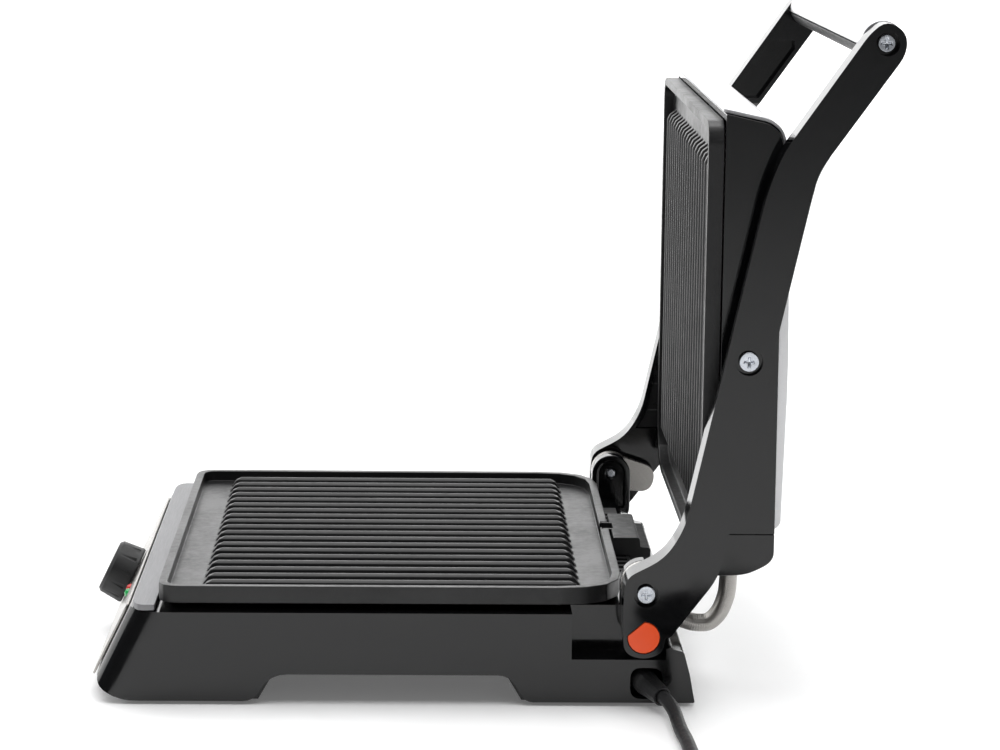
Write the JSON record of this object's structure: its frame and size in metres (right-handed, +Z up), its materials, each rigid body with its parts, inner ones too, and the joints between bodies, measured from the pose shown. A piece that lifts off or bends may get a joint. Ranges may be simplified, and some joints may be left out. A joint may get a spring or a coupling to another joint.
{
  "type": "panini press",
  "caption": "Contact grill with ribbed plates, a floating platen on two lid arms, a side release for lying flat, a knob and a mains cord",
  "frame": {"origin": "centre of the footprint of the open press, on the table", "axes": "+X to the user's right, +Y to the rear, +Z up; the control knob faces -Y"},
  "size_m": [0.5667, 0.5073, 0.3472],
  "materials": {
    "gloss_black": "gloss",
    "matte_black": "matte",
    "nonstick": "satin non-stick coating",
    "steel": "brushed",
    "screw_steel": "bright zinc plate",
    "silver_cover": "satin silver",
    "grey_trim": "satin grey",
    "aluminium": "mill",
    "orange": "gloss",
    "rubber": "matte",
    "brass": "satin",
    "ceramic": "matte",
    "lens_red": "gloss",
    "lens_green": "gloss"
  },
  "bodies": {
    "base": {"base_housing": "gloss_black", "base_bottom_cover": "matte_black", "front_panel": "steel", "front_trim": "grey_trim", "rear_deck": "matte_black", "drain_spout": "matte_black", "foot_1": "rubber", "foot_2": "rubber", "foot_3": "rubber", "foot_4": "rubber", "bottom_screw_1": "screw_steel", "bottom_screw_2": "screw_steel", "bottom_screw_3": "screw_steel", "bottom_screw_4": "screw_steel", "thermostat_body": "ceramic", "lamp_red": "lens_red", "lamp_green": "lens_green", "lower_plate": "nonstick", "lower_heating_element": "aluminium", "lower_reflector": "aluminium", "hinge_ear_right": "gloss_black", "hinge_ear_left": "gloss_black", "conduit_lower": "steel", "conduit_gland_lower": "matte_black", "cord_gland": "rubber", "cord": "rubber", "cord_coil": "rubber", "cord_tie": "matte_black", "cord_tail": "rubber", "plug": "rubber", "plug_pin_1": "screw_steel", "plug_pin_2": "screw_steel"},
    "hinge_pins": {"hinge_screw_right": "screw_steel", "hinge_screw_left": "screw_steel", "hinge_link_right": "steel", "hinge_link_left": "steel"},
    "arms": {"arm_right": "gloss_black", "arm_left": "gloss_black", "arm_inner_cover_right": "matte_black", "arm_inner_cover_left": "matte_black", "handle_core": "matte_black", "handle_cover": "silver_cover", "handle_screw_right": "screw_steel", "handle_screw_left": "screw_steel", "platen_pivot_screw_right": "screw_steel", "platen_pivot_screw_left": "screw_steel", "button_spring": "steel"},
    "pivot_bushes": {"pivot_bush_right": "steel", "pivot_bush_left": "steel"},
    "platen": {"platen_housing": "gloss_black", "platen_end_cap": "gloss_black", "platen_cover": "silver_cover", "upper_plate": "nonstick", "upper_heating_element": "aluminium", "upper_reflector": "aluminium", "conduit_upper": "steel"},
    "release_button": {"release_button": "orange", "lock_pin": "steel"},
    "knob": {"control_knob": "matte_black", "thermostat_shaft": "steel"}
  },
  "joints": [
    {"name": "lay_flat", "type": "hinge", "parent": "base", "child": "hinge_pins", "pos_m": [0, 0.0839, 0.0616], "axis": [1, 0, 0], "range_deg": [-72, 0], "deforming": ["conduit_lower", "conduit_upper"]},
    {"name": "lid", "type": "hinge", "parent": "hinge_pins", "child": "arms", "pos_m": [0, 0.0839, 0.0616], "axis": [1, 0, 0], "range_deg": [0, 103.5], "deforming": ["conduit_lower", "conduit_upper"]},
    {"name": "platen_level", "type": "hinge", "parent": "arms", "child": "pivot_bushes", "pos_m": [0, 0.1323, 0.18], "axis": [1, 0, 0], "range_deg": [-13.6, 0.2], "deforming": ["conduit_upper"]},
    {"name": "platen_flat", "type": "hinge", "parent": "pivot_bushes", "child": "platen", "pos_m": [0, 0.1323, 0.18], "axis": [1, 0, 0], "range_deg": [-18.1, 0.2], "deforming": ["conduit_upper"]},
    {"name": "knob_turn", "type": "hinge", "parent": "base", "child": "knob", "pos_m": [0, -0.1853, 0.0289], "axis": [0, 0.8994, -0.4371], "range_deg": [0, 270]},
    {"name": "button_press", "type": "slide", "parent": "arms", "child": "release_button", "axis": [-1, 0, 0], "range_m": [0, 0.003], "stiffness_N_per_m": 400, "deforming": ["button_spring"]}
  ],
  "couplings": [
    {"joint": "platen_level", "follows": "lid", "ratio": -0.13043},
    {"joint": "platen_flat", "follows": "lay_flat", "ratio": 0.25}
  ]
}
